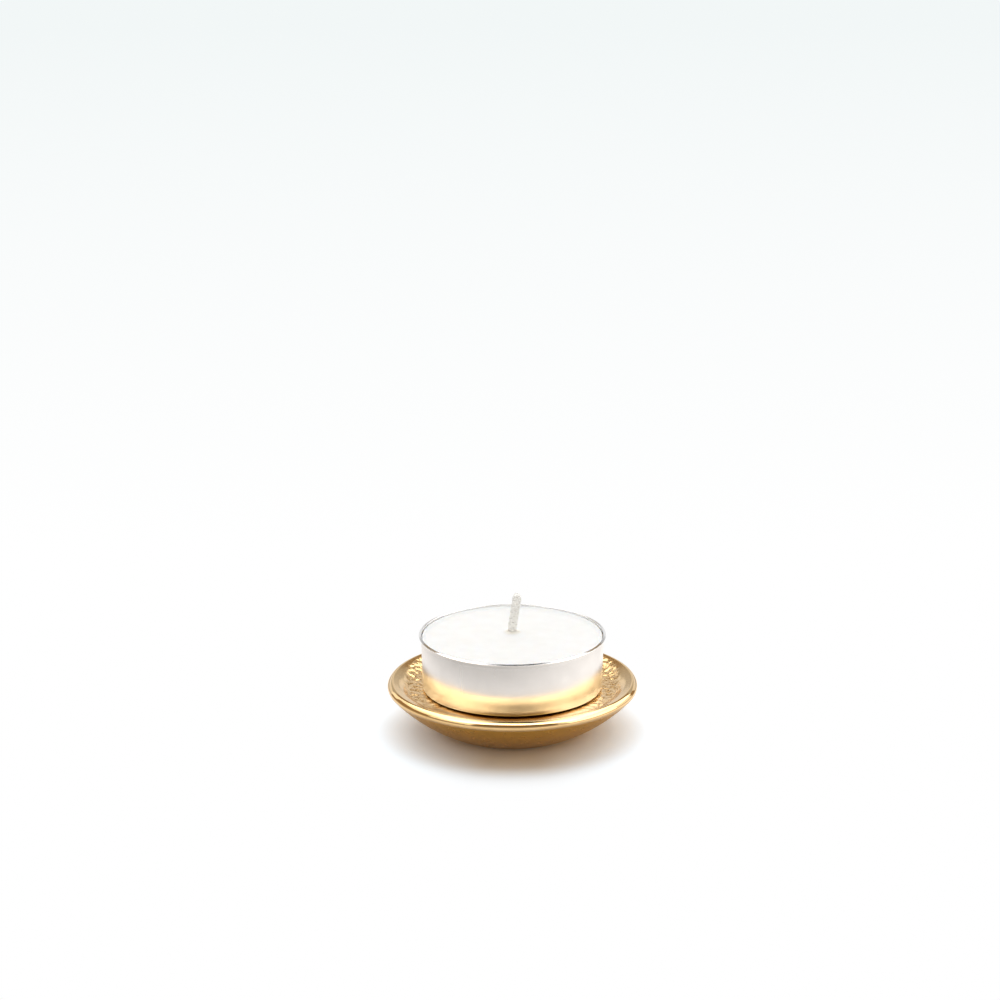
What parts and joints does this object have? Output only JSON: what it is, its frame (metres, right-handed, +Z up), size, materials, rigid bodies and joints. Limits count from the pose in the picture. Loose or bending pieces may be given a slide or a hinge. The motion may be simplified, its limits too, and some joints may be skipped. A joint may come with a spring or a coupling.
{
  "type": "candle plate",
  "caption": "Round brass candle plate with a rounded lip and a shallow dish, holding a tealight in an aluminium cup.",
  "frame": {"origin": "middle of the plate's flat base, on the surface that it stands on", "axes": "+Z up along the plate's axis, +X to the right and +Y away from the viewer of the picture"},
  "size_m": [0.051, 0.051, 0.0278],
  "materials": {
    "brass": "polished lip, satin underside, fine cast texture in the dish",
    "aluminium": "bright drawn sheet",
    "wax": "smooth white paraffin wax",
    "cotton": "braided and waxed",
    "tinned_steel": "tin-plated sheet"
  },
  "bodies": {
    "plate": {"candle_plate": "brass"},
    "cup": {"tealight_cup": "aluminium"},
    "candle": {"wax_fill": "wax", "wick": "cotton", "wick_sustainer": "tinned_steel"}
  },
  "joints": [
    {"name": "tealight_lift", "type": "slide", "parent": "plate", "child": "cup", "axis": [0, 0, 1], "range_m": [0, 0.04]},
    {"name": "candle_lift", "type": "slide", "parent": "cup", "child": "candle", "axis": [0, 0, 1], "range_m": [0, 0.03]}
  ]
}
